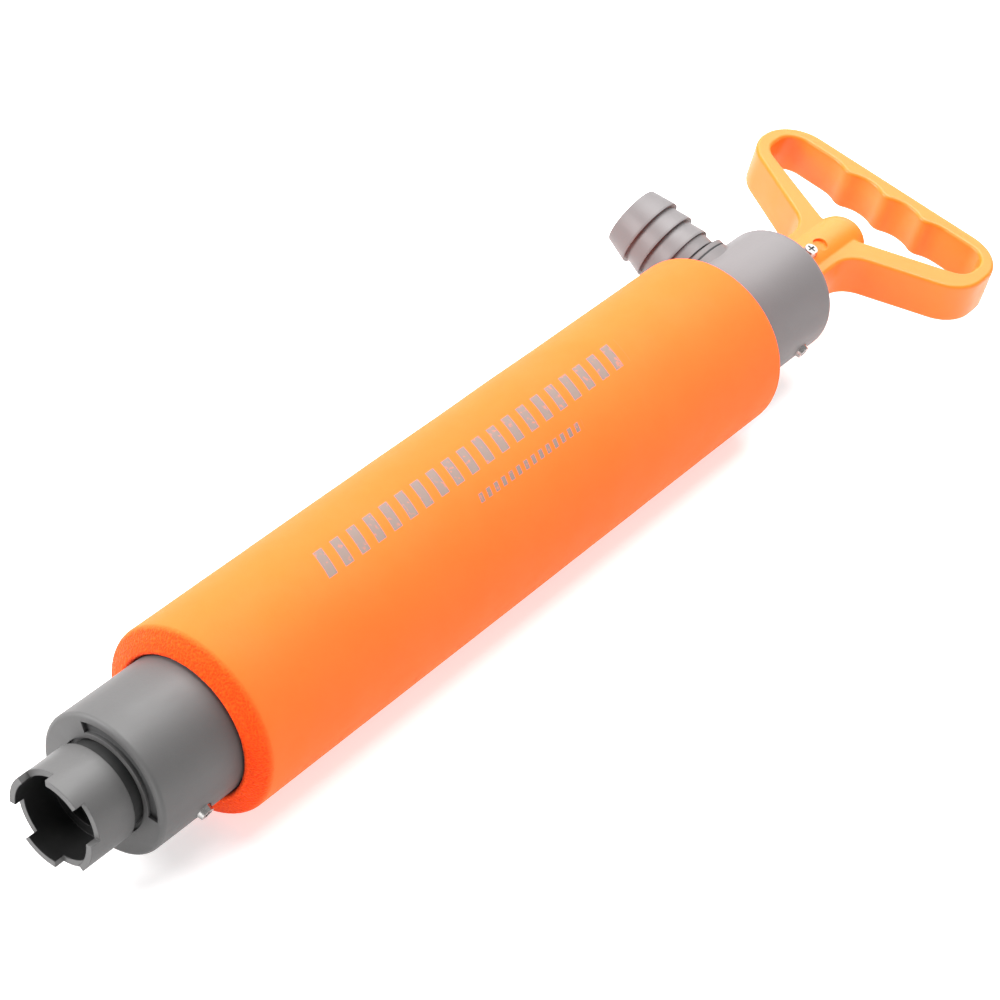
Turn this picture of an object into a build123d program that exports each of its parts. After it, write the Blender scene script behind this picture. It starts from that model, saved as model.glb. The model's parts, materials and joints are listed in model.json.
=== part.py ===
"""Manual bilge pump: a foam-floated barrel with a castellated inlet, a barbed spout and a D handle.

Frame: +Y runs along the barrel from the inlet to the handle, +Z is up. The origin lies on the
surface that the float rests on, straight under the barrel axis at the middle of the float.
Stations are distances along +Y from the middle of the float, in millimetres.
"""

from build123d import *
from math import cos, radians, sin, tan
import os

# Float
FLOAT_RADIUS = 38.0
FLOAT_LENGTH = 314.0
FLOAT_LIP_BULGE = 7.0
FLOAT_EDGE_ROUND = 2.2
FLOAT_BORE_GAP = 0.1
REST_FLAT_DEPTH = 0.4
CAP_SOCKET_DEPTH = 8.0
CAP_SOCKET_GAP = 0.4

AXIS_HEIGHT = FLOAT_RADIUS - REST_FLAT_DEPTH
FLOAT_END = FLOAT_LENGTH / 2

# Barrel tube
BARREL_OUTER = 24.15
BARREL_BORE = 21.5
BARREL_FOOT = -184.0
BARREL_TOP = 201.5
SIDE_PORT_GAP = 0.1
TUBE_SOCKET = BARREL_OUTER + 0.05

# Foot cap
FOOT_CAP_RADIUS = 28.0
FOOT_FACE = -200.0
FOOT_CAP_REAR = -150.0
FOOT_FLOOR = -190.0
FOOT_EDGE_ROUND = 1.6
NOZZLE_RING_RADIUS = 18.7
NOZZLE_RING_DEPTH = 2.0
ARC_RECESS_INNER = 20.8
ARC_RECESS_OUTER = 25.1
ARC_RECESS_DEPTH = 1.6
ARC_RECESS_FROM = -8.0
ARC_RECESS_TO = 108.0

# Inlet nozzle
NOZZLE_RADIUS = 19.0
NOZZLE_MOUTH_BORE = 16.4
NOZZLE_TIP = -225.0
NOZZLE_SHOULDER = -204.4
NOZZLE_STEP = -208.0
NOZZLE_NECK_RADIUS = 17.0
NOZZLE_SPIGOT_RADIUS = 15.2
NOZZLE_SPIGOT_BORE = 12.4
NOZZLE_INNER_END = -190.0
TOOTH_COUNT = 4
TOOTH_DEPTH = 4.0
TOOTH_PHASE = 68.0

# Foot valve
FOOT_SEAL_INNER = 17.2
SEAT_OUTER = 24.1
SEAT_BOTTOM = -188.5
SEAT_PORT_PITCH = 9.6
SEAT_PORT_RADIUS = 2.9
PORT_COUNT = 6
FOOT_DISC_RADIUS = 16.0
DISC_THICKNESS = 2.0
STEM_RADIUS = 1.95
STEM_HOLE = 2.0
STEM_END = -193.6
CLIP_RADIUS = 3.8
CLIP_FROM = -192.5
CLIP_TO = -191.5

# Head cap
HEAD_RADIUS = 27.6
HEAD_REAR = 150.0
HEAD_FLOOR = 203.0
HEAD_END = 213.0
HEAD_EDGE_ROUND = 4.5
BUSH_HOUSING_RADIUS = 15.0
BUSH_HOUSING_START = 194.0
BUSH_START = 196.0
BUSH_END = 208.0
BUSH_RADIUS = 12.0
GLAND_START = 211.0
GLAND_RADIUS = 13.0
GLAND_TOP = 214.6
GLAND_EDGE_ROUND = 0.8
GLAND_GAP = 0.4
HOUSING_GAP = 1.0

# Spout, measured along its own axis from the barrel axis
SPOUT_STATION = 182.5
SPOUT_RISE = 26.8
SPOUT_BORE = 11.0
SPOUT_BOSS_RADIUS = 17.9
SPOUT_RECESS_RADIUS = 18.1
BOSS_START = 15.5
BOSS_TOP = 25.2
SPIGOT_START = 21.9
SPIGOT_RADIUS = 13.8
COLLAR_START = 26.0
COLLAR_END = 28.1
COLLAR_RADIUS = 17.8
GROOVE_END = 29.6
GROOVE_RADIUS = 13.7
SPOUT_NECK_RADIUS = 15.0
FIRST_BARB = 34.8
BARB_PITCH = 8.75
BARB_COUNT = 3
BARB_RADIUS = 16.1
BARB_LAND = 0.9
BARB_ROOT = 14.4
SPOUT_MOUTH = 63.4
SPOUT_MOUTH_RADIUS = 13.7

# Plunger
ROD_RADIUS = 8.0
ROD_BORE = 6.5
ROD_FOOT = -146.0
ROD_TOP = 244.0
BUSH_BORE = 8.06
SEAL_BORE = 8.03
PLUG_FLANGE = -148.8
PLUG_END = -122.0
UPPER_PLUG_START = 222.0
PISTON_BOTTOM = -168.0
PISTON_TOP = -154.0
PISTON_RADIUS = 21.1
PISTON_GROOVE_RADIUS = 18.6
PISTON_GROOVE_FROM = -163.6
PISTON_GROOVE_TO = -158.4
PISTON_SEAL_RADIUS = 21.45
PISTON_PORT_PITCH = 11.0
PISTON_PORT_RADIUS = 3.2
PISTON_DISC_RADIUS = 16.5
DISC_GUIDE_GAP = 0.08
SPACER_RADIUS = 6.0
SPACER_TOP = -149.0
BOLT_RADIUS = 4.0
BOLT_HOLE = 4.06
BOLT_END = -126.0
WASHER_RADIUS = 7.6
WASHER_BOTTOM = -169.8
BOLT_HEAD_BOTTOM = -174.8
BOLT_HEAD_FLATS = 13.0
AXIAL_PLAY = 0.2

# Handle, drawn in its own plane
HANDLE_TILT = 15.0
HANDLE_THICKNESS = 19.8
HANDLE_HALF_WIDTH = 61.0
GRIP_OUTER = 303.0
GRIP_CUSP = 291.6
GRIP_CUSP_ROUND = 6.0
GRIP_VALLEY = 296.0
FINGER_PITCH = 20.5
FINGER_COUNT = 4
LEFT_ARM_CORNER = 272.6
LEFT_ARM_SLOPE = 29.0
RIGHT_ARM_CORNER = 266.8
RIGHT_ARM_SLOPE = 24.6
WINDOW_SLOPE = 24.6
HUB_RADIUS = 12.6
HUB_BOTTOM = 216.0
HUB_TOP = 269.9
HUB_SEAM_ROUND = 2.0
WINDOW_HALF_WIDTH = 54.0
WINDOW_CORNER = 276.6
OUTER_CORNER_ROUND = 18.8
INNER_CORNER_ROUND = 9.5
ARM_ROOT_ROUND = 15.0
HANDLE_EDGE_ROUND = 1.6
ROD_SOCKET_TOP = 245.0
ROD_SOCKET_GAP = 0.05
DIMPLE_STATION = 236.8
DIMPLE_RADIUS = 3.4
DIMPLE_DEPTH = 1.4

# Pan-head screws
SCREW_HEAD_RADIUS = 3.3
SCREW_HEAD_HEIGHT = 2.2
SCREW_HEAD_TAPER = 14.0
SCREW_SHANK_RADIUS = 1.6
SCREW_CROSS_LENGTH = 3.8
SCREW_CROSS_WIDTH = 0.9
SCREW_CROSS_DEPTH = 1.0
SCREW_FACE_DEPTH = 0.3
SCREW_FACE_RADIUS = 3.6
CAP_SCREW_TIP = 22.4
CAP_SCREW_ANGLES = (-28.0, 208.0)
FOOT_SCREW_STATION = -177.8
HEAD_SCREW_STATION = 193.4
HANDLE_SCREW_STATION = 228.4
HANDLE_SCREW_TIP = 3.0
HUB_SCREW_ANGLE = 68.0

PUMP_AXIS = Axis((0, 0, AXIS_HEIGHT), (0, 1, 0))
PROFILE = Plane(origin=(0, 0, AXIS_HEIGHT), x_dir=(0, 1, 0), z_dir=(1, 0, 0))
HANDLE_NORMAL = (sin(radians(HANDLE_TILT)), 0, cos(radians(HANDLE_TILT)))
HANDLE_PLANE = Plane(
    origin=(0, 0, AXIS_HEIGHT),
    x_dir=(cos(radians(HANDLE_TILT)), 0, -sin(radians(HANDLE_TILT))),
    z_dir=HANDLE_NORMAL,
)
SPOUT_DIRECTION = (-cos(radians(SPOUT_RISE)), 0, sin(radians(SPOUT_RISE)))
SPOUT_PROFILE = Plane(
    origin=(0, SPOUT_STATION, AXIS_HEIGHT),
    x_dir=SPOUT_DIRECTION,
    z_dir=(0, 1, 0),
)
SPOUT_AXIS = Axis((0, SPOUT_STATION, AXIS_HEIGHT), SPOUT_DIRECTION)


def cross_plane(station):
    """Plane across the barrel, facing the inlet, with +X to the right and +Z up."""
    return Plane(origin=(0, station, AXIS_HEIGHT), x_dir=(1, 0, 0), z_dir=(0, -1, 0))


def radial_plane(station, angle, radius):
    """Plane that faces outward at a point on a cylinder round the barrel axis."""
    outward = (cos(radians(angle)), 0, sin(radians(angle)))
    centre = (radius * outward[0], station, AXIS_HEIGHT + radius * outward[2])
    return Plane(origin=centre, x_dir=(0, 1, 0), z_dir=outward)


def spout_plane(distance):
    """Plane across the spout at a distance from the barrel axis."""
    centre = SPOUT_PROFILE.from_local_coords((distance, 0, 0))
    return Plane(origin=centre, x_dir=(0, 1, 0), z_dir=SPOUT_DIRECTION)


def band(start, end, inner, outer, mode=Mode.ADD):
    """Rectangle of a half section, from one station to another and between two radii."""
    with Locations(((start + end) / 2, (inner + outer) / 2)):
        Rectangle(end - start, outer - inner, mode=mode)


def rims(part, station, radius):
    """Circular edges of a part at one station along the barrel, with one radius."""
    circles = part.edges().filter_by(GeomType.CIRCLE)
    level = circles.filter_by_position(Axis.Y, station - 0.01, station + 0.01)
    return level.filter_by(lambda edge: abs(edge.radius - radius) < 0.01)


def cut_screw_seat(station, angle, radius):
    """Shallow flat for a pan head on a round part."""
    with BuildSketch(radial_plane(station, angle, radius - SCREW_FACE_DEPTH)) as seat:
        Circle(SCREW_FACE_RADIUS)
    extrude(seat.sketch, amount=2 * SCREW_FACE_DEPTH, mode=Mode.SUBTRACT)


def drill_screw_core(station, angle, inner, outer):
    """Hole for a screw's shank, between two distances from the barrel axis."""
    with BuildSketch(radial_plane(station, angle, inner)) as core:
        Circle(SCREW_SHANK_RADIUS)
    extrude(core.sketch, amount=outer - inner, mode=Mode.SUBTRACT)


def pan_screw(station, angle, radius, tip):
    """Pan-head cross-recess screw, driven towards the barrel axis."""
    seat = radius - SCREW_FACE_DEPTH
    with BuildSketch(radial_plane(station, angle, tip)) as shank:
        Circle(SCREW_SHANK_RADIUS)
    extrude(shank.sketch, amount=seat - tip)
    with BuildSketch(radial_plane(station, angle, seat)) as head:
        Circle(SCREW_HEAD_RADIUS)
    extrude(head.sketch, amount=SCREW_HEAD_HEIGHT, taper=SCREW_HEAD_TAPER)
    with BuildSketch(radial_plane(station, angle, seat + SCREW_HEAD_HEIGHT)) as cross:
        Rectangle(SCREW_CROSS_LENGTH, SCREW_CROSS_WIDTH)
        Rectangle(SCREW_CROSS_WIDTH, SCREW_CROSS_LENGTH)
    extrude(cross.sketch, amount=-SCREW_CROSS_DEPTH, mode=Mode.SUBTRACT)


def save(part, name):
    """Label a finished piece and write it as a STEP file of the same name."""
    part.label = name
    export_step(part, f"parts/{name}.step")


os.makedirs("parts", exist_ok=True)

# Barrel tube, with the side port that the spout draws from
with BuildPart() as barrel_tube:
    with BuildSketch(PROFILE):
        band(BARREL_FOOT, BARREL_TOP, BARREL_BORE, BARREL_OUTER)
    revolve(axis=PUMP_AXIS)
    with BuildSketch(spout_plane(0)):
        Circle(SPIGOT_RADIUS + SIDE_PORT_GAP)
    extrude(amount=HEAD_RADIUS, mode=Mode.SUBTRACT)
    for screw_angle in CAP_SCREW_ANGLES:
        drill_screw_core(FOOT_SCREW_STATION, screw_angle, PISTON_RADIUS, HEAD_RADIUS)
        drill_screw_core(HEAD_SCREW_STATION, screw_angle, PISTON_RADIUS, HEAD_RADIUS)
save(barrel_tube.part, "barrel_tube")

# Foam float: a sleeve whose ends bulge to a lip round each cap, with a narrow flat where it rests
with BuildPart() as foam_float:
    float_bore = BARREL_OUTER + FLOAT_BORE_GAP
    float_lip = FLOAT_END + FLOAT_LIP_BULGE
    socket_floor = FLOAT_END - CAP_SOCKET_DEPTH
    with BuildSketch(PROFILE) as float_profile:
        with BuildLine():
            Polyline(
                (-float_lip, float_bore),
                (-FLOAT_END, FLOAT_RADIUS),
                (FLOAT_END, FLOAT_RADIUS),
                (float_lip, float_bore),
                close=True,
            )
        make_face()
        fillet(float_profile.vertices().group_by(Axis.Y)[-1], FLOAT_EDGE_ROUND)
        band(-float_lip, -socket_floor, float_bore, FOOT_CAP_RADIUS + CAP_SOCKET_GAP, Mode.SUBTRACT)
        band(socket_floor, float_lip, float_bore, HEAD_RADIUS + CAP_SOCKET_GAP, Mode.SUBTRACT)
    revolve(axis=PUMP_AXIS)
    split(bisect_by=Plane.XY, keep=Keep.TOP)
save(foam_float.part, "foam_float")

# Foot cap: a cup over the tube, with a hub hole for the nozzle and an arc recess in its face
with BuildPart() as foot_cap:
    with BuildSketch(PROFILE):
        band(FOOT_FACE, FOOT_CAP_REAR, NOZZLE_SPIGOT_RADIUS, FOOT_CAP_RADIUS)
        band(FOOT_FLOOR, FOOT_CAP_REAR, 0, TUBE_SOCKET, Mode.SUBTRACT)
        band(FOOT_FACE, FOOT_FACE + NOZZLE_RING_DEPTH, 0, NOZZLE_RING_RADIUS, Mode.SUBTRACT)
    revolve(axis=PUMP_AXIS)
    fillet(rims(foot_cap, FOOT_FACE, FOOT_CAP_RADIUS), FOOT_EDGE_ROUND)
    arc_sweep = ARC_RECESS_TO - ARC_RECESS_FROM
    with BuildSketch(cross_plane(FOOT_FACE)):
        with BuildLine():
            outer_arc = CenterArc((0, 0), ARC_RECESS_OUTER, ARC_RECESS_FROM, arc_sweep)
            inner_arc = CenterArc((0, 0), ARC_RECESS_INNER, ARC_RECESS_FROM, arc_sweep)
            Line(outer_arc @ 0, inner_arc @ 0)
            Line(outer_arc @ 1, inner_arc @ 1)
        make_face()
    extrude(amount=-ARC_RECESS_DEPTH, mode=Mode.SUBTRACT)
    for screw_angle in CAP_SCREW_ANGLES:
        cut_screw_seat(FOOT_SCREW_STATION, screw_angle, FOOT_CAP_RADIUS)
        drill_screw_core(FOOT_SCREW_STATION, screw_angle, CAP_SCREW_TIP, FOOT_CAP_RADIUS)
save(foot_cap.part, "foot_cap")

# Inlet nozzle: castellated mouth, narrower neck, and a spigot that sits in the foot cap
with BuildPart() as inlet_nozzle:
    with BuildSketch(PROFILE):
        band(NOZZLE_TIP, NOZZLE_SHOULDER, NOZZLE_SPIGOT_BORE, NOZZLE_RADIUS)
        band(NOZZLE_SHOULDER, FOOT_FACE + NOZZLE_RING_DEPTH, NOZZLE_SPIGOT_BORE, NOZZLE_NECK_RADIUS)
        band(FOOT_FACE + NOZZLE_RING_DEPTH, NOZZLE_INNER_END, NOZZLE_SPIGOT_BORE, NOZZLE_SPIGOT_RADIUS)
        band(NOZZLE_TIP, NOZZLE_STEP, 0, NOZZLE_MOUTH_BORE, Mode.SUBTRACT)
    revolve(axis=PUMP_AXIS)
    with BuildSketch(cross_plane(NOZZLE_TIP)):
        notch_angle = 180 / TOOTH_COUNT
        reach = FOOT_CAP_RADIUS
        for tooth in range(TOOTH_COUNT):
            notch_centre = TOOTH_PHASE + notch_angle + tooth * 360 / TOOTH_COUNT
            with BuildLine():
                notch_start = PolarLine((0, 0), reach, notch_centre - notch_angle / 2)
                notch_end = PolarLine((0, 0), reach, notch_centre + notch_angle / 2)
                Line(notch_start @ 1, notch_end @ 1)
            make_face()
    extrude(amount=-TOOTH_DEPTH, mode=Mode.SUBTRACT)
save(inlet_nozzle.part, "inlet_nozzle")

# Flat seal between the foot cap's floor and the valve seat
with BuildPart() as foot_cap_seal:
    with BuildSketch(PROFILE):
        band(FOOT_FLOOR, SEAT_BOTTOM, FOOT_SEAL_INNER, SEAT_OUTER)
    revolve(axis=PUMP_AXIS)
save(foot_cap_seal.part, "foot_cap_seal")

# Foot valve seat: a ported disc clamped under the tube
with BuildPart() as foot_valve_seat:
    with BuildSketch(PROFILE):
        band(SEAT_BOTTOM, BARREL_FOOT, STEM_HOLE, SEAT_OUTER)
    revolve(axis=PUMP_AXIS)
    with BuildSketch(cross_plane(BARREL_FOOT)):
        with PolarLocations(SEAT_PORT_PITCH, PORT_COUNT):
            Circle(SEAT_PORT_RADIUS)
    extrude(amount=BARREL_FOOT - SEAT_BOTTOM, mode=Mode.SUBTRACT)
save(foot_valve_seat.part, "foot_valve_seat")

# Foot valve disc: a rubber flap on a stem that slides in the seat
with BuildPart() as foot_valve_disc:
    with BuildSketch(PROFILE):
        band(BARREL_FOOT, BARREL_FOOT + DISC_THICKNESS, 0, FOOT_DISC_RADIUS)
        band(STEM_END, BARREL_FOOT, 0, STEM_RADIUS)
    revolve(axis=PUMP_AXIS)
save(foot_valve_disc.part, "foot_valve_disc")

# Clip that stops the disc's lift
with BuildPart() as foot_valve_clip:
    with BuildSketch(PROFILE):
        band(CLIP_FROM, CLIP_TO, STEM_RADIUS, CLIP_RADIUS)
    revolve(axis=PUMP_AXIS)
save(foot_valve_clip.part, "foot_valve_clip")

# Head cap: a cup over the tube's top, with the rod bush housing and the spout's boss
with BuildPart() as head_cap:
    with BuildSketch(PROFILE):
        band(HEAD_REAR, HEAD_END, TUBE_SOCKET, HEAD_RADIUS)
        band(HEAD_FLOOR, HEAD_END, BUSH_RADIUS, TUBE_SOCKET)
        band(BUSH_HOUSING_START, HEAD_FLOOR, BUSH_RADIUS, BUSH_HOUSING_RADIUS)
        band(BUSH_HOUSING_START, BUSH_START, ROD_RADIUS + HOUSING_GAP, BUSH_RADIUS)
        band(GLAND_START, HEAD_END, 0, GLAND_RADIUS, Mode.SUBTRACT)
    revolve(axis=PUMP_AXIS)
    fillet(rims(head_cap, HEAD_END, HEAD_RADIUS), HEAD_EDGE_ROUND)
    with BuildSketch(spout_plane(BOSS_START)):
        Circle(SPOUT_BOSS_RADIUS)
    extrude(amount=BOSS_TOP - BOSS_START)
    with BuildSketch(PROFILE):
        band(HEAD_REAR, HEAD_FLOOR, BUSH_HOUSING_RADIUS, TUBE_SOCKET)
    revolve(axis=PUMP_AXIS, mode=Mode.SUBTRACT)
    with BuildSketch(spout_plane(BOSS_TOP)):
        Circle(SPOUT_RECESS_RADIUS)
    extrude(amount=HEAD_RADIUS, mode=Mode.SUBTRACT)
    with BuildSketch(spout_plane(BOSS_START)):
        Circle(SPIGOT_RADIUS)
    extrude(amount=BOSS_TOP, mode=Mode.SUBTRACT)
    for screw_angle in CAP_SCREW_ANGLES:
        cut_screw_seat(HEAD_SCREW_STATION, screw_angle, HEAD_RADIUS)
        drill_screw_core(HEAD_SCREW_STATION, screw_angle, CAP_SCREW_TIP, HEAD_RADIUS)
save(head_cap.part, "head_cap")

# Flat seal between the tube's top and the head cap's floor
with BuildPart() as head_cap_seal:
    with BuildSketch(PROFILE):
        band(BARREL_TOP, HEAD_FLOOR, BARREL_BORE, BARREL_OUTER)
    revolve(axis=PUMP_AXIS)
save(head_cap_seal.part, "head_cap_seal")

# Rod bush, rod seal and the gland ring that keeps the seal in
with BuildPart() as rod_bush:
    with BuildSketch(PROFILE):
        band(BUSH_START, BUSH_END, BUSH_BORE, BUSH_RADIUS)
    revolve(axis=PUMP_AXIS)
save(rod_bush.part, "rod_bush")

with BuildPart() as rod_seal:
    with BuildSketch(PROFILE):
        band(BUSH_END, GLAND_START, SEAL_BORE, BUSH_RADIUS)
    revolve(axis=PUMP_AXIS)
save(rod_seal.part, "rod_seal")

with BuildPart() as gland_ring:
    with BuildSketch(PROFILE):
        band(GLAND_START, GLAND_TOP, ROD_RADIUS + GLAND_GAP, GLAND_RADIUS)
    revolve(axis=PUMP_AXIS)
    fillet(rims(gland_ring, GLAND_TOP, GLAND_RADIUS), GLAND_EDGE_ROUND)
save(gland_ring.part, "gland_ring")

# Spout: spigot, collar, groove and neck, then barbs that narrow towards the mouth
with BuildPart() as spout:
    with BuildSketch(SPOUT_PROFILE):
        band(SPIGOT_START, COLLAR_START, SPOUT_BORE, SPIGOT_RADIUS)
        band(COLLAR_START, COLLAR_END, SPOUT_BORE, COLLAR_RADIUS)
        band(COLLAR_END, GROOVE_END, SPOUT_BORE, GROOVE_RADIUS)
        band(GROOVE_END, FIRST_BARB, SPOUT_BORE, SPOUT_NECK_RADIUS)
        for barb in range(BARB_COUNT):
            lip = FIRST_BARB + barb * BARB_PITCH
            last = barb == BARB_COUNT - 1
            toe = SPOUT_MOUTH if last else lip + BARB_PITCH
            toe_radius = SPOUT_MOUTH_RADIUS if last else BARB_ROOT
            with BuildLine():
                Polyline(
                    (lip, SPOUT_BORE),
                    (lip, BARB_RADIUS),
                    (lip + BARB_LAND, BARB_RADIUS),
                    (toe, toe_radius),
                    (toe, SPOUT_BORE),
                    close=True,
                )
            make_face()
    revolve(axis=SPOUT_AXIS)
save(spout.part, "spout")

# Gasket under the spout's collar
with BuildPart() as spout_gasket:
    with BuildSketch(SPOUT_PROFILE):
        band(BOSS_TOP, COLLAR_START, SPIGOT_RADIUS, COLLAR_RADIUS)
    revolve(axis=SPOUT_AXIS)
save(spout_gasket.part, "spout_gasket")

# Cap screws: two to a cap, below the spout's side
with BuildPart() as foot_cap_screws:
    for screw_angle in CAP_SCREW_ANGLES:
        pan_screw(FOOT_SCREW_STATION, screw_angle, FOOT_CAP_RADIUS, CAP_SCREW_TIP)
save(foot_cap_screws.part, "foot_cap_screws")

with BuildPart() as head_cap_screws:
    for screw_angle in CAP_SCREW_ANGLES:
        pan_screw(HEAD_SCREW_STATION, screw_angle, HEAD_RADIUS, CAP_SCREW_TIP)
save(head_cap_screws.part, "head_cap_screws")

# Piston rod: a tube with a plug in each end
with BuildPart() as piston_rod:
    with BuildSketch(PROFILE):
        band(ROD_FOOT, ROD_TOP, ROD_BORE, ROD_RADIUS)
    revolve(axis=PUMP_AXIS)
    drill_screw_core(HANDLE_SCREW_STATION, HUB_SCREW_ANGLE, HANDLE_SCREW_TIP, HUB_RADIUS)
save(piston_rod.part, "piston_rod")

with BuildPart() as rod_lower_plug:
    with BuildSketch(PROFILE):
        band(PLUG_FLANGE, ROD_FOOT, BOLT_RADIUS, ROD_RADIUS)
        band(ROD_FOOT, PLUG_END, 0, ROD_BORE)
        band(ROD_FOOT, BOLT_END, 0, BOLT_RADIUS, Mode.SUBTRACT)
    revolve(axis=PUMP_AXIS)
save(rod_lower_plug.part, "rod_lower_plug")

with BuildPart() as rod_upper_plug:
    with BuildSketch(PROFILE):
        band(UPPER_PLUG_START, ROD_TOP, 0, ROD_BORE)
    revolve(axis=PUMP_AXIS)
    drill_screw_core(HANDLE_SCREW_STATION, HUB_SCREW_ANGLE, HANDLE_SCREW_TIP, ROD_RADIUS)
save(rod_upper_plug.part, "rod_upper_plug")

# Piston: a ported body with a seal, a spacer for the bolt, and a valve disc on top
with BuildPart() as piston_body:
    with BuildSketch(PROFILE):
        band(PISTON_BOTTOM, PISTON_TOP, BOLT_HOLE, PISTON_RADIUS)
        band(PISTON_GROOVE_FROM, PISTON_GROOVE_TO, PISTON_GROOVE_RADIUS, PISTON_RADIUS, Mode.SUBTRACT)
    revolve(axis=PUMP_AXIS)
    with BuildSketch(cross_plane(PISTON_TOP)):
        with PolarLocations(PISTON_PORT_PITCH, PORT_COUNT):
            Circle(PISTON_PORT_RADIUS)
    extrude(amount=PISTON_TOP - PISTON_BOTTOM, mode=Mode.SUBTRACT)
save(piston_body.part, "piston_body")

with BuildPart() as piston_seal:
    with BuildSketch(PROFILE):
        band(PISTON_GROOVE_FROM, PISTON_GROOVE_TO, PISTON_GROOVE_RADIUS, PISTON_SEAL_RADIUS)
    revolve(axis=PUMP_AXIS)
save(piston_seal.part, "piston_seal")

with BuildPart() as piston_spacer:
    with BuildSketch(PROFILE):
        band(PISTON_TOP, SPACER_TOP, BOLT_HOLE, SPACER_RADIUS)
    revolve(axis=PUMP_AXIS)
save(piston_spacer.part, "piston_spacer")

with BuildPart() as piston_valve_disc:
    with BuildSketch(PROFILE):
        band(PISTON_TOP, PISTON_TOP + DISC_THICKNESS, SPACER_RADIUS + DISC_GUIDE_GAP, PISTON_DISC_RADIUS)
    revolve(axis=PUMP_AXIS)
save(piston_valve_disc.part, "piston_valve_disc")

# Piston bolt and washer, which turn with the rod
with BuildPart() as bolt_washer:
    with BuildSketch(PROFILE):
        band(WASHER_BOTTOM, PISTON_BOTTOM - AXIAL_PLAY, BOLT_RADIUS, WASHER_RADIUS)
    revolve(axis=PUMP_AXIS)
save(bolt_washer.part, "bolt_washer")

with BuildPart() as piston_bolt:
    with BuildSketch(cross_plane(WASHER_BOTTOM)):
        RegularPolygon(BOLT_HEAD_FLATS / 2, 6, major_radius=False)
    extrude(amount=WASHER_BOTTOM - BOLT_HEAD_BOTTOM)
    with BuildSketch(PROFILE):
        band(WASHER_BOTTOM, BOLT_END, 0, BOLT_RADIUS)
    revolve(axis=PUMP_AXIS)
save(piston_bolt.part, "piston_bolt")

# Handle: a D outline with a finger-scalloped grip, one slim arm and one broad arm, and a domed hub
arm_reach = HANDLE_HALF_WIDTH - HUB_RADIUS
left_root = LEFT_ARM_CORNER - arm_reach * tan(radians(LEFT_ARM_SLOPE))
right_root = RIGHT_ARM_CORNER - arm_reach * tan(radians(RIGHT_ARM_SLOPE))
window_floor = WINDOW_CORNER - WINDOW_HALF_WIDTH * tan(radians(WINDOW_SLOPE))
scallop_depth = GRIP_VALLEY - GRIP_CUSP
scallop_radius = ((FINGER_PITCH / 2) ** 2 + scallop_depth**2) / (2 * scallop_depth)
outer_finger = FINGER_PITCH * (FINGER_COUNT - 1) / 2

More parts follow.
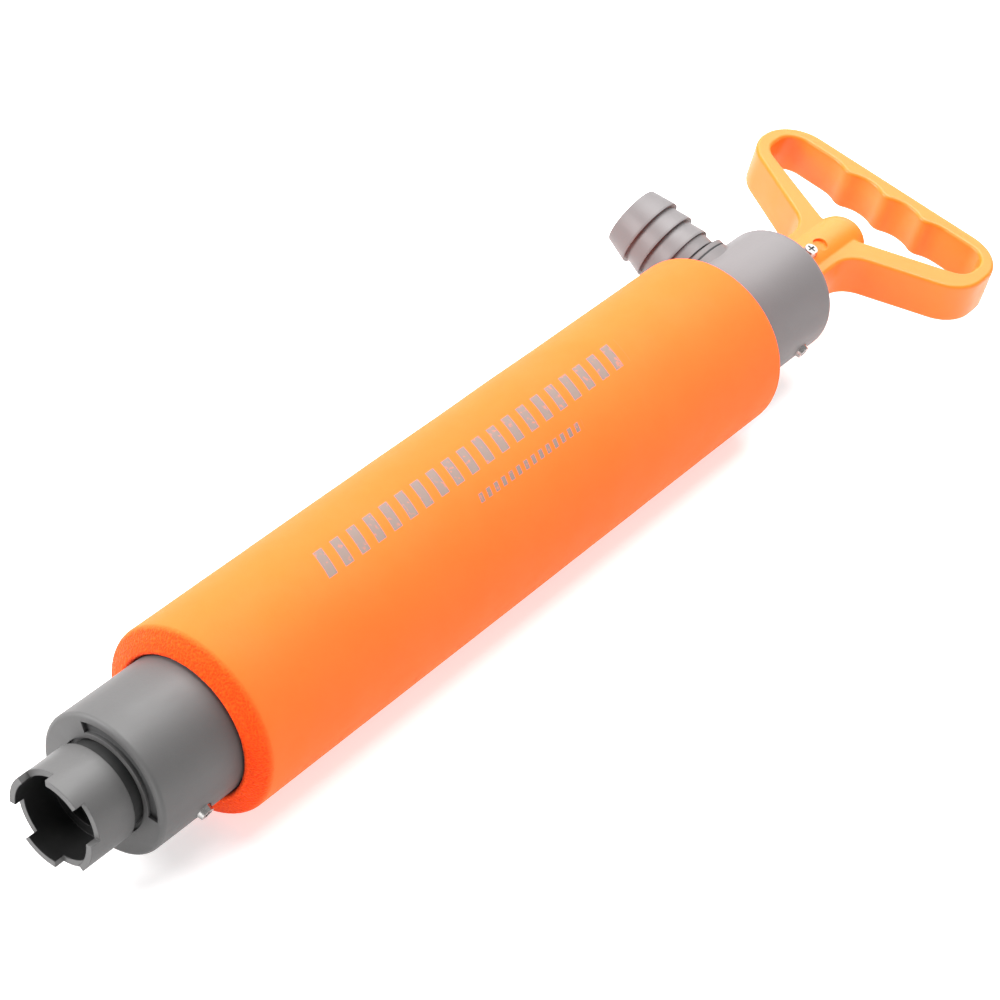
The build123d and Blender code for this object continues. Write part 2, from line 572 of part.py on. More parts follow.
with BuildPart() as handle:
    with BuildSketch(HANDLE_PLANE) as outline:
        with BuildLine():
            Polyline(
                (-HUB_RADIUS, HUB_BOTTOM),
                (-HUB_RADIUS, left_root),
                (-HANDLE_HALF_WIDTH, LEFT_ARM_CORNER),
                (-HANDLE_HALF_WIDTH, GRIP_OUTER),
                (HANDLE_HALF_WIDTH, GRIP_OUTER),
                (HANDLE_HALF_WIDTH, RIGHT_ARM_CORNER),
                (HUB_RADIUS, right_root),
                (HUB_RADIUS, HUB_BOTTOM),
                close=True,
            )
        make_face()
        outer_corners = outline.vertices().filter_by_position(Axis.Y, RIGHT_ARM_CORNER, GRIP_OUTER)
        fillet(outer_corners, OUTER_CORNER_ROUND)
        root_corners = outline.vertices().filter_by_position(Axis.Y, right_root, left_root)
        fillet(root_corners, ARM_ROOT_ROUND)
    extrude(amount=HANDLE_THICKNESS / 2, both=True)
    with BuildSketch(HANDLE_PLANE) as window:
        with BuildLine():
            Polyline(
                (0, window_floor),
                (-WINDOW_HALF_WIDTH, WINDOW_CORNER),
                (-WINDOW_HALF_WIDTH, GRIP_VALLEY),
                (WINDOW_HALF_WIDTH, GRIP_VALLEY),
                (WINDOW_HALF_WIDTH, WINDOW_CORNER),
                close=True,
            )
        make_face()
        fillet(window.vertices(), INNER_CORNER_ROUND)
        with Locations((0, GRIP_CUSP)):
            Rectangle(
                2 * outer_finger,
                2 * scallop_depth,
                align=(Align.CENTER, Align.MIN),
                mode=Mode.SUBTRACT,
            )
        with Locations((0, GRIP_VALLEY - scallop_radius)):
            with GridLocations(FINGER_PITCH, 1, FINGER_COUNT, 1):
                Circle(scallop_radius)
        cusp_reach = outer_finger - FINGER_PITCH / 4
        between_fingers = window.vertices().filter_by_position(Axis.X, -cusp_reach, cusp_reach)
        fillet(between_fingers.sort_by(Axis.Y)[1 - FINGER_COUNT :], GRIP_CUSP_ROUND)
    extrude(amount=HANDLE_THICKNESS, both=True, mode=Mode.SUBTRACT)
    long_edges = handle.faces().filter_by(HANDLE_PLANE).edges()
    fillet(long_edges, HANDLE_EDGE_ROUND)
    with BuildSketch(PROFILE):
        band(HUB_BOTTOM, HUB_TOP - HUB_RADIUS, 0, HUB_RADIUS)
        with Locations((HUB_TOP - HUB_RADIUS, 0)):
            Circle(HUB_RADIUS)
        with Locations((HUB_TOP - HUB_RADIUS, 0)):
            Rectangle(3 * HUB_RADIUS, HUB_RADIUS, align=(Align.CENTER, Align.MAX), mode=Mode.SUBTRACT)
    revolve(axis=PUMP_AXIS)
    hub_seams = handle.edges().filter_by(GeomType.LINE).filter_by(Axis.Y).group_by(SortBy.LENGTH)[-1]
    fillet(hub_seams, HUB_SEAM_ROUND)
    with BuildSketch(PROFILE):
        band(HUB_BOTTOM, ROD_SOCKET_TOP, 0, ROD_RADIUS + ROD_SOCKET_GAP)
    revolve(axis=PUMP_AXIS, mode=Mode.SUBTRACT)
    cut_screw_seat(HANDLE_SCREW_STATION, HUB_SCREW_ANGLE, HUB_RADIUS)
    drill_screw_core(HANDLE_SCREW_STATION, HUB_SCREW_ANGLE, HANDLE_SCREW_TIP, HUB_RADIUS)
    with BuildSketch(radial_plane(DIMPLE_STATION, HUB_SCREW_ANGLE, HUB_RADIUS - DIMPLE_DEPTH)):
        Circle(DIMPLE_RADIUS)
    extrude(amount=2 * DIMPLE_DEPTH, mode=Mode.SUBTRACT)
save(handle.part, "handle")

with BuildPart() as handle_screw:
    pan_screw(HANDLE_SCREW_STATION, HUB_SCREW_ANGLE, HUB_RADIUS, HANDLE_SCREW_TIP)
save(handle_screw.part, "handle_screw")
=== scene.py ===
"""Looks of the manual bilge pump: the foam float, the materials, the light and the camera."""

import json
from math import cos, radians, sin, tau

import bpy
from mathutils import Matrix, Vector, noise


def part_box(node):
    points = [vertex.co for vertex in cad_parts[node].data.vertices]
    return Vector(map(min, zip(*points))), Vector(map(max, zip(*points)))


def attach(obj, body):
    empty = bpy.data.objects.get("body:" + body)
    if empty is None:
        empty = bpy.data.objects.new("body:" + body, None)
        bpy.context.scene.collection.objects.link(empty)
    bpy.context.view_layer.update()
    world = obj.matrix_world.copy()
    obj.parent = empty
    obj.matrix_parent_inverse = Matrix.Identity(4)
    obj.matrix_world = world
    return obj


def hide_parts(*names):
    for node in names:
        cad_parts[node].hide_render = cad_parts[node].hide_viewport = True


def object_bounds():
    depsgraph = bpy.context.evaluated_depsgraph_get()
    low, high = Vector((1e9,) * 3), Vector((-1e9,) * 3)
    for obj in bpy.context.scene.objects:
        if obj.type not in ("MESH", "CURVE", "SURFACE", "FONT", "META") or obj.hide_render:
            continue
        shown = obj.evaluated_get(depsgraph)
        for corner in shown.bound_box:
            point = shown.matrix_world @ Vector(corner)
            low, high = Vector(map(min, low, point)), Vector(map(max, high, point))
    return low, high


MM = 0.001

# Outline of the float. It follows the CAD solid closely, with lips, crowned faces and softer edges added
SOCKET_DEPTH = 13.0 * MM
SOCKET_GAP = 0.3 * MM
SOCKET_ROUND = 0.2 * MM
BORE_GAP = 0.1 * MM
LIP_ROUND = 1.3 * MM
FACE_CROWN = 0.5 * MM
FACE_ROUND = 6.0 * MM
EDGE_ROUND = 3.2 * MM
EDGE_SETBACK = 5.0 * MM

# Mesh of the float
FLOAT_SEGMENTS = 320
SIDE_STEP = 2.4 * MM
FACE_STEP = 0.55 * MM
ARC_STEPS = 7

# Unevenness of the float: a slow swell, a fine skin and the open cells of the cut ends. Each has a height
# in metres and a number of waves or cells per metre. A pit fades out PIT_EDGE cell widths from its centre
SWELL = 0.16 * MM
SWELL_SCALE = 26.0
SKIN = 0.03 * MM
SKIN_SCALE = 230.0
PIT_DEPTH = 0.16 * MM
PIT_SCALE = 900.0
PIT_EDGE = 0.55

# How fast the pits come in as the surface turns towards an end, and the least weight that gets any
PIT_ONSET = 1.6
LEAST_PIT_WEIGHT = 0.2

# Colours. A pair holds the two ends of the slight variation over a surface
FOAM_SKIN = ((1.0, 0.118, 0.014), (1.0, 0.138, 0.020))
FOAM_CUT = ((0.90, 0.042, 0.0015), (1.0, 0.086, 0.004))
PRINT_GREY = (0.17, 0.145, 0.13)
HANDLE_ORANGE = ((1.0, 0.150, 0.005), (1.0, 0.170, 0.008))
CAP_GREY = ((0.070, 0.069, 0.069), (0.082, 0.080, 0.079))
# Paler grey that the caps are painted towards at the handle end, a painted light
PAINTED_LIGHT_GREY = (0.146, 0.132, 0.133)
TUBE_WHITE = ((0.74, 0.74, 0.72), (0.80, 0.80, 0.78))
INNER_WHITE = ((0.74, 0.72, 0.66), (0.80, 0.78, 0.72))
RUBBER_BLACK = ((0.012, 0.012, 0.013), (0.03, 0.03, 0.031))
STEEL = ((0.34, 0.33, 0.32), (0.50, 0.49, 0.48))
ALUMINIUM = ((0.36, 0.37, 0.38), (0.46, 0.46, 0.47))
FLOOR_WHITE = ((0.61, 0.61, 0.61), (0.63, 0.63, 0.63))

# Light that scatters under a surface: how far red, green and blue go against each other, and the depth
SCATTER_BY_COLOUR = (1.0, 0.35, 0.12)
FOAM_SCATTER_DEPTH = 4 * MM
PLASTIC_SCATTER_DEPTH = 3 * MM

# Noise seldom leaves this range, so the maps from noise to roughness start from it
NOISE_RANGE = (0.3, 0.7)

# Moulded plastic: radius of its worn edges, the samples that look for them, and how far its roughness goes
# below and above the middle
EDGE_WEAR = 0.45 * MM
EDGE_SAMPLES = 4
SMOOTHER = 0.06
ROUGHER = 0.08

# How far the grey of the head end is painted towards the paler grey, a painted light for the stronger light
# there
HEAD_PAINTED_LIGHT = 0.8

# Painted shade in the foot cap's face recess, round the inlet's neck and inside the inlet: the radius that
# it reaches, the station from the cap's face where it starts, and its shade
PAINTED_SHADE = (
    (25.3 * MM, 0.6 * MM, 0.046),
    (17.3 * MM, -4.3 * MM, 0.030),
    (16.45 * MM, -40 * MM, 0.008),
)
PAINTED_SHADE_FADE = 0.3 * MM

# Fade from the skin to the cut ends of the float
CUT_FADE = 1.6 * MM

# Printed bands of slanted bars on the float. Each has an angle range in degrees, measured from +X up
# towards +Z, then a range and a pitch in metres of the station less BAR_SLANT for each radian
BANDS = (
    (66.0, 84.0, -115 * MM, 65 * MM, 9.0 * MM),
    (50.0, 55.0, -36 * MM, 27 * MM, 4.5 * MM),
)
BAND_EDGE_DEGREES = 0.35
BAND_EDGE = 0.25 * MM
BAR_SLANT = 14 * MM
BAR_SHARE = 0.52

# Camera
CAMERA_AZIMUTH = 37.8
CAMERA_ELEVATION = 35.07
CAMERA_DISTANCE = 1147.5 * MM
CAMERA_TARGET = Vector((3.1, 14.6, 37.6)) * MM
CAMERA_LENS = 107.8
CAMERA_SENSOR = 36.0

# Light: name, place, width and height in metres, and power in watts
LIGHTS = (
    ("back_panel", (-0.75, 1.30, 0.95), 2.3, 1.5, 24),
    ("top", (0.0, 0.45, 1.5), 1.3, 1.3, 50),
    ("front_left", (-0.9, -1.1, 1.0), 0.8, 0.8, 44),
)
WORLD_STRENGTH = 0.45
FLOOR_GLOW = 0.95
FLOOR_REACH = 6.0

# The Mix node's colour sockets, which share their names with its other sockets and so go by number
MIX_BASE = 6
MIX_OVER = 7
MIX_RESULT = 2

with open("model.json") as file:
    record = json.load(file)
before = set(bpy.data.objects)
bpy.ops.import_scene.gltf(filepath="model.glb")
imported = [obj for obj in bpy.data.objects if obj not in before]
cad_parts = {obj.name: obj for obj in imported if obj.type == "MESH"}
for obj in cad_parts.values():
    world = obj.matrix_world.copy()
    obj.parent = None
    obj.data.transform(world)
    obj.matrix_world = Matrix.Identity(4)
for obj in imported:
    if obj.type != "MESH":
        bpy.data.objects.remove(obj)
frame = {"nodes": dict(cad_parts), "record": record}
cad_low, cad_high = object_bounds()

float_low, float_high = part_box("foam_float")
foot_low, foot_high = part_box("foot_cap")
head_low, head_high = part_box("head_cap")
tube_low, tube_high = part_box("barrel_tube")
FLOAT_RADIUS = (float_high.x - float_low.x) / 2
AXIS_Z = float_high.z - FLOAT_RADIUS
FOOT_RADIUS = (foot_high.x - foot_low.x) / 2
HEAD_RADIUS = head_high.z - AXIS_Z
TUBE_RADIUS = (tube_high.x - tube_low.x) / 2


# Materials


def new_material(name, metallic=0.0, roughness=0.5, specular=0.5):
    """A node material, with its constants set on the shader's own sockets."""
    made = bpy.data.materials.new(name)
    made.use_nodes = True
    shader = made.node_tree.nodes["Principled BSDF"]
    shader.inputs["Metallic"].default_value = metallic
    shader.inputs["Roughness"].default_value = roughness
    shader.inputs["Specular IOR Level"].default_value = specular
    return made, made.node_tree, shader


def scatter_light(shader, weight, depth):
    """Let light scatter under the surface, red the furthest."""
    shader.inputs["Subsurface Weight"].default_value = weight
    shader.inputs["Subsurface Radius"].default_value = SCATTER_BY_COLOUR
    shader.inputs["Subsurface Scale"].default_value = depth


def object_coordinates(tree, factors=(1.0, 1.0, 1.0)):
    """Object coordinates in metres times a factor for each axis. A low one draws a pattern out along it."""
    source = tree.nodes.new("ShaderNodeTexCoord")
    mapping = tree.nodes.new("ShaderNodeMapping")
    mapping.inputs["Scale"].default_value = factors
    tree.links.new(source.outputs["Object"], mapping.inputs["Vector"])
    return mapping.outputs["Vector"]


def split_coordinates(tree):
    """Object coordinates as three separate values, X, Y and Z."""
    split = tree.nodes.new("ShaderNodeSeparateXYZ")
    tree.links.new(object_coordinates(tree), split.inputs["Vector"])
    return split.outputs["X"], split.outputs["Y"], split.outputs["Z"]


def noise_field(tree, scale, detail=3.0, rough=0.55, factors=(1.0, 1.0, 1.0)):
    """Noise from 0 to 1 over the object."""
    field = tree.nodes.new("ShaderNodeTexNoise")
    field.inputs["Scale"].default_value = scale
    field.inputs["Detail"].default_value = detail
    field.inputs["Roughness"].default_value = rough
    tree.links.new(object_coordinates(tree, factors), field.inputs["Vector"])
    return field.outputs["Fac"]


def cell_field(tree, scale):
    """Distance to the nearest cell centre."""
    field = tree.nodes.new("ShaderNodeTexVoronoi")
    field.inputs["Scale"].default_value = scale
    tree.links.new(object_coordinates(tree), field.inputs["Vector"])
    return field.outputs["Distance"]


def map_range(tree, value, source, target):
    """Map a value from one range to another, clamped."""
    mapped = tree.nodes.new("ShaderNodeMapRange")
    mapped.inputs["From Min"].default_value = source[0]
    mapped.inputs["From Max"].default_value = source[1]
    mapped.inputs["To Min"].default_value = target[0]
    mapped.inputs["To Max"].default_value = target[1]
    tree.links.new(value, mapped.inputs["Value"])
    return mapped.outputs["Result"]


def rise(tree, value, start, end):
    """0 up to the start and 1 from the end on."""
    return map_range(tree, value, (start, end), (0, 1))


def fall(tree, value, start, end):
    """1 up to the start and 0 from the end on."""
    return map_range(tree, value, (start, end), (1, 0))


def blend_colours(tree, value, colours):
    """Colour that runs from the first of a pair to the second as the value goes from 0 to 1."""
    ramp = tree.nodes.new("ShaderNodeValToRGB")
    for element, colour in zip(ramp.color_ramp.elements, colours):
        element.color = (*colour, 1)
    tree.links.new(value, ramp.inputs["Fac"])
    return ramp.outputs["Color"]


def mix_colour(tree, value, base, over):
    """Lay a colour, or another socket's, over a first one where the value is 1."""
    mix = tree.nodes.new("ShaderNodeMix")
    mix.data_type = "RGBA"
    tree.links.new(value, mix.inputs["Factor"])
    tree.links.new(base, mix.inputs[MIX_BASE])
    if isinstance(over, tuple):
        mix.inputs[MIX_OVER].default_value = (*over, 1)
    else:
        tree.links.new(over, mix.inputs[MIX_OVER])
    return mix.outputs[MIX_RESULT]


def calculate(tree, operation, first, second=None):
    """One Math node on a socket, and a second socket or a number."""
    node = tree.nodes.new("ShaderNodeMath")
    node.operation = operation
    tree.links.new(first, node.inputs[0])
    if isinstance(second, (int, float)):
        node.inputs[1].default_value = second
    elif second is not None:
        tree.links.new(second, node.inputs[1])
    return node.outputs[0]


def worn_edges(tree, radius):
    """Normals as if every edge were rounded off a little."""
    made = tree.nodes.new("ShaderNodeBevel")
    made.samples = EDGE_SAMPLES
    made.inputs["Radius"].default_value = radius
    return made.outputs["Normal"]


def bump(tree, shader, height, distance, strength, after=None):
    """Bump of a real height in metres, laid on any earlier bump."""
    made = tree.nodes.new("ShaderNodeBump")
    made.inputs["Strength"].default_value = strength
    made.inputs["Distance"].default_value = distance
    tree.links.new(height, made.inputs["Height"])
    if after is not None:
        tree.links.new(after, made.inputs["Normal"])
    tree.links.new(made.outputs["Normal"], shader.inputs["Normal"])
    return made.outputs["Normal"]


def bar_mask(tree):
    """1 on the printed bars, 0 elsewhere, from the angle round the barrel and the station."""
    across, station, height = split_coordinates(tree)
    angle = calculate(tree, "ARCTAN2", calculate(tree, "SUBTRACT", height, AXIS_Z), across)
    slanted = calculate(tree, "SUBTRACT", station, calculate(tree, "MULTIPLY", angle, BAR_SLANT))
    angle_edge = radians(BAND_EDGE_DEGREES)
    mask = None
    for low_degrees, high_degrees, low_station, high_station, pitch in BANDS:
        low_angle, high_angle = radians(low_degrees), radians(high_degrees)
        from_start = calculate(tree, "SUBTRACT", slanted, low_station)
        repeat = calculate(tree, "FRACT", calculate(tree, "DIVIDE", from_start, pitch))
        bar_edge = BAND_EDGE / pitch
        limits = [
            rise(tree, angle, low_angle - angle_edge, low_angle),
            fall(tree, angle, high_angle, high_angle + angle_edge),
            rise(tree, slanted, low_station - BAND_EDGE, low_station),
            fall(tree, slanted, high_station, high_station + BAND_EDGE),
            rise(tree, repeat, 0, bar_edge),
        ]
        band = fall(tree, repeat, BAR_SHARE, BAR_SHARE + bar_edge)
        for limit in limits:
            band = calculate(tree, "MULTIPLY", band, limit)
        mask = band if mask is None else calculate(tree, "MAXIMUM", mask, band)
    return mask


def foam():
    """Closed-cell foam: smooth skin with worn grey print, and open cells on the cut ends."""
    made, tree, shader = new_material("foam", roughness=0.8, specular=0.12)
    scatter_light(shader, weight=0.12, depth=FOAM_SCATTER_DEPTH)
    shader.inputs["Sheen Weight"].default_value = 0.05
    shader.inputs["Sheen Roughness"].default_value = 0.5

    _, station, _ = split_coordinates(tree)
    from_middle = calculate(tree, "SUBTRACT", station, (float_low.y + float_high.y) / 2)
    from_middle = calculate(tree, "ABSOLUTE", from_middle)
    cut_start = (float_high.y - float_low.y) / 2 - EDGE_SETBACK
    cut = rise(tree, from_middle, cut_start - CUT_FADE, cut_start + CUT_FADE / 2)

    skin = blend_colours(tree, noise_field(tree, scale=18), FOAM_SKIN)
    wear = noise_field(tree, scale=420, detail=4.0)
    worn = map_range(tree, wear, source=(0.34, 0.42), target=(0.75, 0.97))
    cover = calculate(tree, "MULTIPLY", bar_mask(tree), worn)
    skin = mix_colour(tree, cover, skin, PRINT_GREY)
    cells = cell_field(tree, scale=1150)
    torn = blend_colours(tree, cells, FOAM_CUT)
    tree.links.new(mix_colour(tree, cut, skin, torn), shader.inputs["Base Color"])
    rough = map_range(tree, noise_field(tree, scale=60), NOISE_RANGE, target=(0.72, 0.86))
    tree.links.new(rough, shader.inputs["Roughness"])

    grain = noise_field(tree, scale=700)
    grain_bump = bump(tree, shader, grain, distance=0.08 * MM, strength=0.5)
    closed_cells = cell_field(tree, scale=1500)
    cell_bump = bump(tree, shader, closed_cells, distance=0.05 * MM, strength=0.35, after=grain_bump)
    open_cells = calculate(tree, "MULTIPLY", cells, cut)
    bump(tree, shader, open_cells, distance=0.4 * MM, strength=0.8, after=cell_bump)
    return made


def grey_with_painted_light_and_shade(tree, colour):
    """Grey with painted light, paler towards the handle end, and painted shade, darker round and in the
    inlet.
    """
    across, station, height = split_coordinates(tree)
    # Painted light: paler towards the handle end, as if lit more strongly there
    painted_light = map_range(tree, station, (foot_high.y, head_low.y), (0, HEAD_PAINTED_LIGHT))
    colour = mix_colour(tree, painted_light, colour, PAINTED_LIGHT_GREY)
    above_axis = calculate(tree, "SUBTRACT", height, AXIS_Z)
    squares = [calculate(tree, "MULTIPLY", side, side) for side in (across, above_axis)]
    radius = calculate(tree, "SQRT", calculate(tree, "ADD", *squares))
    near_end = calculate(tree, "LESS_THAN", station, foot_high.y)
    # Painted shade: darker in the foot cap's face recess, round the inlet's neck and inside the inlet
    for outer, start, shade in PAINTED_SHADE:
        within = fall(tree, radius, outer, outer + PAINTED_SHADE_FADE)
        behind = rise(tree, station, foot_low.y + start, foot_low.y + start + PAINTED_SHADE_FADE)
        painted_shade = calculate(tree, "MULTIPLY", within, behind)
        painted_shade = calculate(tree, "MULTIPLY", painted_shade, near_end)
        colour = mix_colour(tree, painted_shade, colour, (shade, shade, shade))
    return colour


def moulded_plastic(name, colours, roughness, grain_scale, grain_height, scatter=0.0, paint_light_and_shade=False):
    """Injection-moulded plastic with a fine moulded grain and slightly uneven gloss."""
    made, tree, shader = new_material(name, roughness=roughness, specular=0.4)
    scatter_light(shader, scatter, PLASTIC_SCATTER_DEPTH)
    colour = blend_colours(tree, noise_field(tree, scale=35, detail=4.0), colours)
    # The caps' grey gets painted light towards the handle end and painted shade round the inlet
    if paint_light_and_shade:
        colour = grey_with_painted_light_and_shade(tree, colour)
    tree.links.new(colour, shader.inputs["Base Color"])
    smears = noise_field(tree, scale=55, detail=4.0, rough=0.6, factors=(1.0, 0.35, 1.0))
    gloss = map_range(tree, smears, NOISE_RANGE, (roughness - SMOOTHER, roughness + ROUGHER))
    tree.links.new(gloss, shader.inputs["Roughness"])
    edges = worn_edges(tree, EDGE_WEAR)
    grain = noise_field(tree, grain_scale)
    grain_bump = bump(tree, shader, grain, grain_height, strength=0.5, after=edges)
    waves = noise_field(tree, scale=45, detail=2.0)
    bump(tree, shader, waves, distance=0.4 * MM, strength=0.12, after=grain_bump)
    return made


def rubber():
    """Black moulded rubber, matt with a little bloom."""
    made, tree, shader = new_material("black_rubber", roughness=0.7, specular=0.35)
    tone = blend_colours(tree, noise_field(tree, scale=120, detail=5.0), RUBBER_BLACK)
    tree.links.new(tone, shader.inputs["Base Color"])
    bump(tree, shader, noise_field(tree, scale=1500), distance=0.05 * MM, strength=0.5)
    return made


def screw_steel():
    """Bright stainless steel with turning marks."""
    made, tree, shader = new_material("screw_steel", metallic=1.0, roughness=0.22)
    tone = blend_colours(tree, noise_field(tree, scale=500), STEEL)
    tree.links.new(tone, shader.inputs["Base Color"])
    marks = noise_field(tree, scale=1400, rough=0.6, factors=(1.0, 0.2, 1.0))
    tree.links.new(map_range(tree, marks, NOISE_RANGE, target=(0.14, 0.34)), shader.inputs["Roughness"])
    bump(tree, shader, marks, distance=0.03 * MM, strength=0.5)
    return made


def rod_aluminium():
    """Drawn aluminium tube with fine lines along it."""
    made, tree, shader = new_material("rod_aluminium", metallic=1.0, roughness=0.32)
    lines = noise_field(tree, scale=1600, rough=0.6, factors=(1.0, 0.02, 1.0))
    tone = blend_colours(tree, lines, ALUMINIUM)
    tree.links.new(tone, shader.inputs["Base Color"])
    tree.links.new(map_range(tree, lines, NOISE_RANGE, target=(0.25, 0.42)), shader.inputs["Roughness"])
    bump(tree, shader, lines, distance=0.02 * MM, strength=0.6)
    return made


SLOT_MATERIALS = {
    "handle_plastic": moulded_plastic(
        "handle_plastic",
        HANDLE_ORANGE,
        roughness=0.40,
        grain_scale=900,
        grain_height=0.05 * MM,
        scatter=0.12,
    ),
    # The caps' grey carries painted light and painted shade
    "cap_plastic": moulded_plastic(
        "cap_plastic", CAP_GREY, roughness=0.5, grain_scale=1100, grain_height=0.05 * MM, paint_light_and_shade=True
    ),
    "tube_plastic": moulded_plastic(
        "tube_plastic", TUBE_WHITE, roughness=0.35, grain_scale=800, grain_height=0.03 * MM
    ),
    "inner_plastic": moulded_plastic(
        "inner_plastic", INNER_WHITE, roughness=0.45, grain_scale=900, grain_height=0.04 * MM
    ),
    "rubber": rubber(),
    "screw_steel": screw_steel(),
    "rod_aluminium": rod_aluminium(),
}

node_slots = {part["node"]: part["material_slot"] for part in frame["record"]["subparts"]}
for node_name, node_object in frame["nodes"].items():
    slot_name = node_slots[node_name]
    if slot_name in SLOT_MATERIALS:
        node_object.data.materials.clear()
        node_object.data.materials.append(SLOT_MATERIALS[slot_name])


# Foam float


def rounded_outline(corners):
    """Points of an open outline whose corners are arcs. Each corner is (station, radius, round)."""
    points = [Vector(corners[0][:2])]
    for before, corner, after in zip(corners, corners[1:], corners[2:]):
        centre = Vector(corner[:2])
        back = (Vector(before[:2]) - centre).normalized()
        ahead = (Vector(after[:2]) - centre).normalized()
        half_angle = back.angle(ahead) / 2
        middle = centre + (back + ahead).normalized() * corner[2] / sin(half_angle)
        start = centre + back * corner[2] * cos(half_angle) / sin(half_angle)
        end = centre + ahead * corner[2] * cos(half_angle) / sin(half_angle)
        for step in range(ARC_STEPS + 1):
            part = step / ARC_STEPS
            chord = start.lerp(end, part)
            points.append(middle + (chord - middle).normalized() * corner[2])
    points.append(Vector(corners[-1][:2]))
    return points


def end_corners(way, end, cap_radius):
    """Corners of one end of the float, from its bore over the cap's socket and the end face to its side."""
    socket = cap_radius + SOCKET_GAP
    edge_station = end - way * EDGE_SETBACK
    face_middle = (end + edge_station) / 2 + way * FACE_CROWN
    return [
        (end - way * SOCKET_DEPTH, TUBE_RADIUS + BORE_GAP, 0),
        (end - way * SOCKET_DEPTH, socket, SOCKET_ROUND),
        (end, socket, LIP_ROUND),
        (face_middle, (socket + FLOAT_RADIUS) / 2, FACE_ROUND),
        (edge_station, FLOAT_RADIUS, EDGE_ROUND),
    ]


def resample(points, near_face, far_face):
    """Even steps along an outline: fine on the end faces, coarser along the side."""
    made = [points[0]]
    for start, end in zip(points, points[1:]):
        middle = (start.x + end.x) / 2
        step = FACE_STEP if middle < near_face or middle > far_face else SIDE_STEP
        count = max(1, round((end - start).length / step))
        made += [start.lerp(end, (i + 1) / count) for i in range(count)]
    return made


def float_outline():
    """Half section of the float, from the bore at one end round the outside to the bore at the other."""
    near = end_corners(-1, float_low.y, FOOT_RADIUS)
    far = end_corners(1, float_high.y, HEAD_RADIUS)
    near_face = near[-1][0] + EDGE_ROUND
    far_face = far[-1][0] - EDGE_ROUND
    return resample(rounded_outline(near + far[::-1]), near_face, far_face)


def outline_normals(outline):
    """Normals of the outline's points, out of the foam."""
    last = len(outline) - 1
    normals = []
    for index in range(last + 1):
        ahead = outline[min(index + 1, last)] - outline[max(index - 1, 0)]
        normals.append(Vector((-ahead.y, ahead.x)).normalized())
    return normals


def pits(place):
    """Depth from 0 to 1 of an open cell of the cut foam."""
    distance = noise.voronoi(place * PIT_SCALE)[0][0]
    return max(0.0, 1.0 - distance / PIT_EDGE)


def unevenness(place, pit_weight):
    """Height of the real surface over the smooth one, below 0 except where the fine skin peaks."""
    lift = SWELL * noise.noise(place * SWELL_SCALE)
    lift += SKIN * noise.noise(place * SKIN_SCALE)
    if pit_weight > LEAST_PIT_WEIGHT:
        lift -= PIT_DEPTH * pit_weight * pits(place)
    return lift - SWELL


def make_float():
    """Foam sleeve: its outline swept round the barrel's axis, with a flat where it rests on the floor."""
    outline = float_outline()
    vertices = []
    for point, normal in zip(outline, outline_normals(outline)):
        pit_weight = min(1.0, abs(normal.x) * PIT_ONSET)
        for segment in range(FLOAT_SEGMENTS):
            angle = segment * tau / FLOAT_SEGMENTS
            place = Vector((point.y * cos(angle), point.x, point.y * sin(angle)))
            outward = Vector((normal.y * cos(angle), normal.x, normal.y * sin(angle)))
            place += outward * unevenness(place, pit_weight)
            place.z += AXIS_Z
            place.z = max(place.z, 0.0)
            vertices.append(place)
    faces = []
    for index in range(len(outline)):
        row = index * FLOAT_SEGMENTS
        # The last row joins the first, which closes the bore
        next_row = (index + 1) % len(outline) * FLOAT_SEGMENTS
        for segment in range(FLOAT_SEGMENTS):
            following = (segment + 1) % FLOAT_SEGMENTS
            faces.append((row + segment, next_row + segment, next_row + following, row + following))
    mesh = bpy.data.meshes.new("foam_sleeve")
    mesh.from_pydata(vertices, [], faces)
    mesh.materials.append(foam())
    mesh.polygons.foreach_set("use_smooth", [True] * len(faces))
    mesh.update()
    sleeve = bpy.data.objects.new("foam_sleeve", mesh)
    bpy.context.scene.collection.objects.link(sleeve)
    return sleeve


foam_sleeve = make_float()
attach(foam_sleeve, "barrel")
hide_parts("foam_float")


# Stage, light and camera


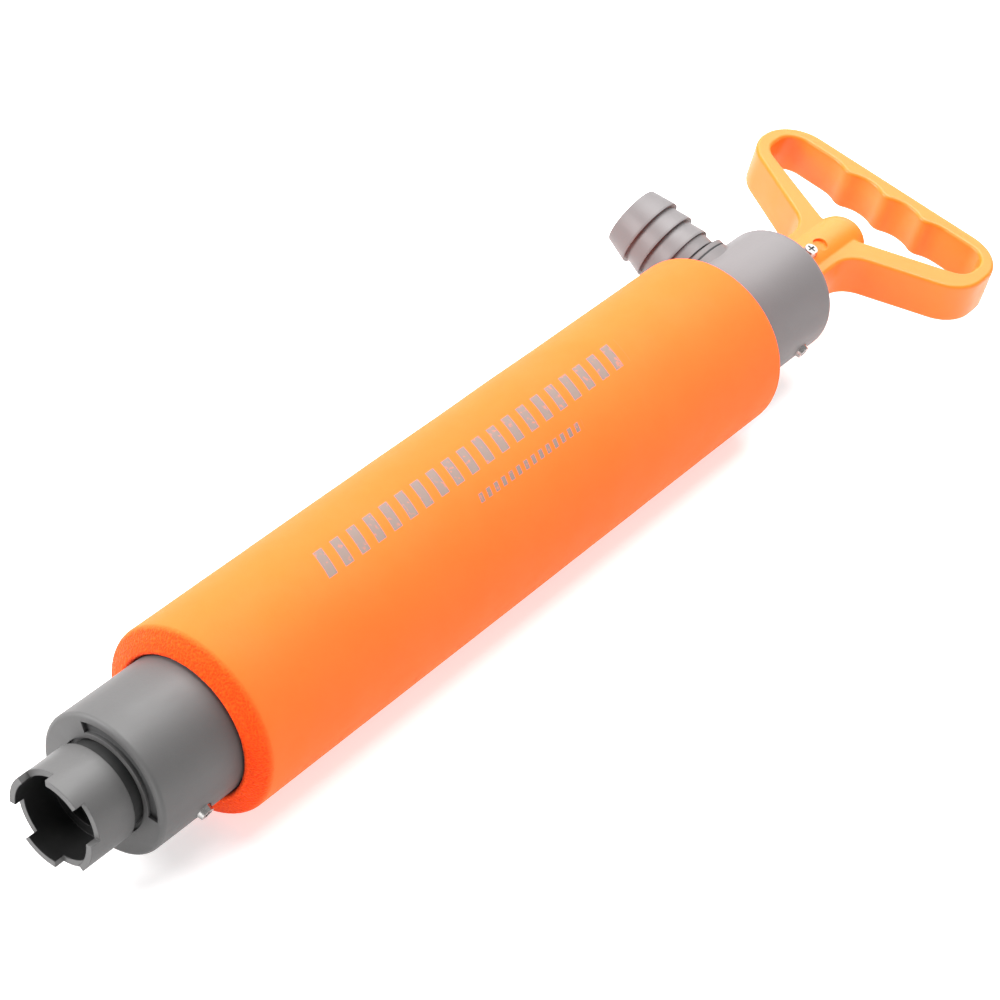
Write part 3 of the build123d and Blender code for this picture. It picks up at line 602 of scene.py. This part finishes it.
def add_floor():
    """Plain pale floor that runs out of view."""
    low, high = -FLOOR_REACH, FLOOR_REACH
    mesh = bpy.data.meshes.new("floor")
    mesh.from_pydata([(low, low, 0), (high, low, 0), (high, high, 0), (low, high, 0)], [], [(0, 1, 2, 3)])
    made, tree, shader = new_material("floor", roughness=0.9, specular=0.1)
    tone = blend_colours(tree, noise_field(tree, scale=3, detail=2.0), FLOOR_WHITE)
    tree.links.new(tone, shader.inputs["Base Color"])
    tree.links.new(tone, shader.inputs["Emission Color"])
    shader.inputs["Emission Strength"].default_value = FLOOR_GLOW
    mesh.materials.append(made)
    floor = bpy.data.objects.new("floor", mesh)
    bpy.context.scene.collection.objects.link(floor)


def add_area_light(name, place, width, height, power, target):
    """Soft rectangular light that faces a target."""
    data = bpy.data.lights.new(name, "AREA")
    data.shape = "RECTANGLE"
    data.size = width
    data.size_y = height
    data.energy = power
    light = bpy.data.objects.new(name, data)
    light.location = place
    light.rotation_euler = (Vector(target) - Vector(place)).to_track_quat("-Z", "Y").to_euler()
    bpy.context.scene.collection.objects.link(light)


def add_world(strength):
    """Even white surroundings."""
    world = bpy.data.worlds.new("studio")
    world.use_nodes = True
    background = world.node_tree.nodes["Background"]
    background.inputs["Color"].default_value = (1, 1, 1, 1)
    background.inputs["Strength"].default_value = strength
    bpy.context.scene.world = world


def add_camera():
    """Camera at the photograph's angle, level with the horizon."""
    azimuth, elevation = radians(CAMERA_AZIMUTH), radians(CAMERA_ELEVATION)
    back = Vector((sin(azimuth) * cos(elevation), -cos(azimuth) * cos(elevation), sin(elevation)))
    right = Vector((cos(azimuth), sin(azimuth), 0))
    up = back.cross(right)
    data = bpy.data.cameras.new("camera")
    data.lens = CAMERA_LENS
    data.sensor_width = CAMERA_SENSOR
    camera = bpy.data.objects.new("camera", data)
    turn = Matrix((right, up, back)).transposed().to_4x4()
    camera.matrix_world = Matrix.Translation(CAMERA_TARGET + back * CAMERA_DISTANCE) @ turn
    bpy.context.scene.collection.objects.link(camera)
    bpy.context.scene.camera = camera


middle = (cad_low + cad_high) / 2
add_floor()
add_world(WORLD_STRENGTH)
for light in LIGHTS:
    add_area_light(*light, middle)
add_camera()

# The Standard view lets the bright orange clip in its red channel, as it does in the photograph
bpy.context.scene.view_settings.view_transform = "Standard"
